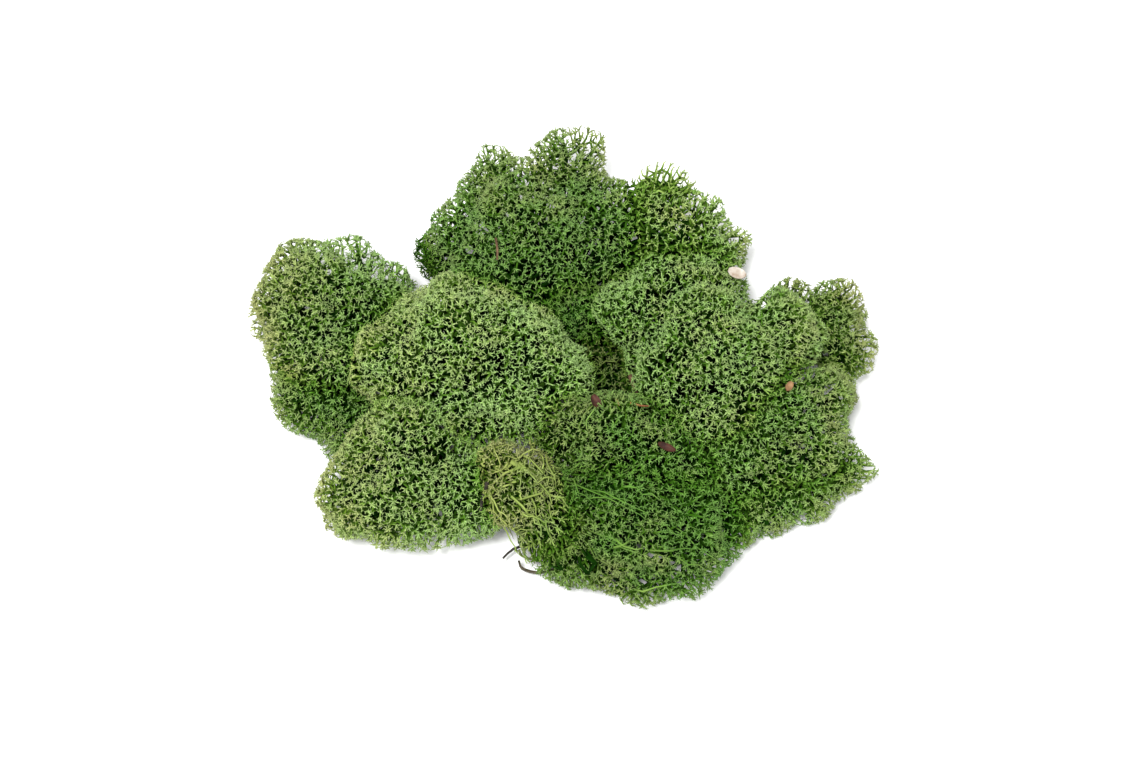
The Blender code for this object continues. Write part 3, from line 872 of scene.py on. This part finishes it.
def sheet_floor(looks):
    """A wide flat sheet at height 0."""
    half = FLOOR_HALF
    corners = [(-half, -half, 0), (half, -half, 0), (half, half, 0), (-half, half, 0)]
    mesh = bpy.data.meshes.new("floor")
    mesh.from_pydata(corners, [], [(0, 1, 2, 3)])
    material, _, shader, _ = new_material("sheet", 0.9, 0.5)
    shader.inputs["Base Color"].default_value = (*looks.floor, 1)
    mesh.materials.append(material)
    return bpy.data.objects.new("floor", mesh)


def white_sky(looks):
    """Even white light from all round."""
    world = bpy.data.worlds.new("sky")
    world.use_nodes = True
    world.node_tree.nodes["Background"].inputs["Color"].default_value = (1, 1, 1, 1)
    world.node_tree.nodes["Background"].inputs["Strength"].default_value = looks.sky
    return world


def soft_lamp(looks):
    """A broad soft lamp above."""
    light = bpy.data.lights.new("lamp", "SUN")
    light.energy = looks.lamp
    light.angle = math.radians(LAMP_ANGLE)
    lamp = bpy.data.objects.new("lamp", light)
    lamp.rotation_euler = (*np.radians(LAMP_TILT), 0)
    return lamp


def tilted_camera(looks):
    """A camera in front of the target, tilted down by the elevation and far enough off to see VIEW_WIDTH."""
    lens = bpy.data.cameras.new("camera")
    lens.lens = LENS
    lens.clip_start = 0.05
    camera = bpy.data.objects.new("camera", lens)
    distance = lens.lens / lens.sensor_width * VIEW_WIDTH
    away = np.array([0, -math.cos(looks.elevation), math.sin(looks.elevation)])
    camera.location = np.array(TARGET) + distance * away
    camera.rotation_euler = (math.pi / 2 - looks.elevation, 0, 0)
    return camera


class MOSS_OT_tufts(bpy.types.Operator):
    """Grows the twigs of every tuft"""

    bl_idname = "moss.tufts"
    bl_label = "Grow the tufts"

    def execute(self, context):
        grown_pieces(TUFTS, context.scene.moss_sizes, context.scene.moss_colours)
        return {"FINISHED"}


class MOSS_OT_sprigs(bpy.types.Operator):
    """Grows the two loose sprigs at the back"""

    bl_idname = "moss.sprigs"
    bl_label = "Grow the sprigs"

    def execute(self, context):
        grown_pieces(SPRIGS, context.scene.moss_sizes, context.scene.moss_colours)
        return {"FINISHED"}


class MOSS_OT_litter(bpy.types.Operator):
    """Gives every twig, needle, flake and chip its finish"""

    bl_idname = "moss.litter"
    bl_label = "Finish the litter"

    def execute(self, context):
        group = litter_grain()
        finishes = {slot: litter_material(slot, group) for slot in LITTER}
        for part in frame["record"]["subparts"]:
            if part["node"] not in TUFTS | SPRIGS:
                mesh = frame["nodes"][part["node"]].data
                mesh.materials.clear()
                mesh.materials.append(finishes[part["material_slot"]])
        return {"FINISHED"}


class MOSS_OT_stage(bpy.types.Operator):
    """Lays the floor and sets up the light and the camera"""

    bl_idname = "moss.stage"
    bl_label = "Set the stage"

    def execute(self, context):
        scene = context.scene
        looks = scene.moss_stage
        floor = sheet_floor(looks)
        scene.collection.objects.link(floor)
        scene.world = white_sky(looks)
        lamp = soft_lamp(looks)
        scene.collection.objects.link(lamp)
        camera = tilted_camera(looks)
        scene.collection.objects.link(camera)
        scene.camera = camera
        scene.view_settings.view_transform = "Standard"
        return {"FINISHED"}


class MOSS_PT_panel(bpy.types.Panel):
    """The heap's sizes, colours and steps"""

    bl_idname = "MOSS_PT_panel"
    bl_label = "Moss Clump"
    bl_space_type = "VIEW_3D"
    bl_region_type = "UI"
    bl_category = "Moss"

    def draw(self, context):
        for name, kind in GROUPS.items():
            column = self.layout.column(align=True)
            for value in kind.__annotations__:
                column.prop(getattr(context.scene, name), value)
        for kind in STEPS:
            self.layout.operator(kind.bl_idname)


STEPS = (MOSS_OT_tufts, MOSS_OT_sprigs, MOSS_OT_litter, MOSS_OT_stage)
GROUPS = {"moss_sizes": MossSizes, "moss_colours": MossColours, "moss_stage": StageLooks}


def register():
    for kind in (*GROUPS.values(), *STEPS, MOSS_PT_panel):
        bpy.utils.register_class(kind)
    for name, kind in GROUPS.items():
        setattr(bpy.types.Scene, name, bpy.props.PointerProperty(type=kind))


def unregister():
    for name in GROUPS:
        delattr(bpy.types.Scene, name)
    for kind in (MOSS_PT_panel, *reversed(STEPS), *GROUPS.values()):
        bpy.utils.unregister_class(kind)


def main():
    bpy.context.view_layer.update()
    register()
    bpy.ops.moss.tufts()
    bpy.ops.moss.sprigs()
    bpy.ops.moss.litter()
    bpy.ops.moss.stage()


if __name__ == "__main__":
    main()
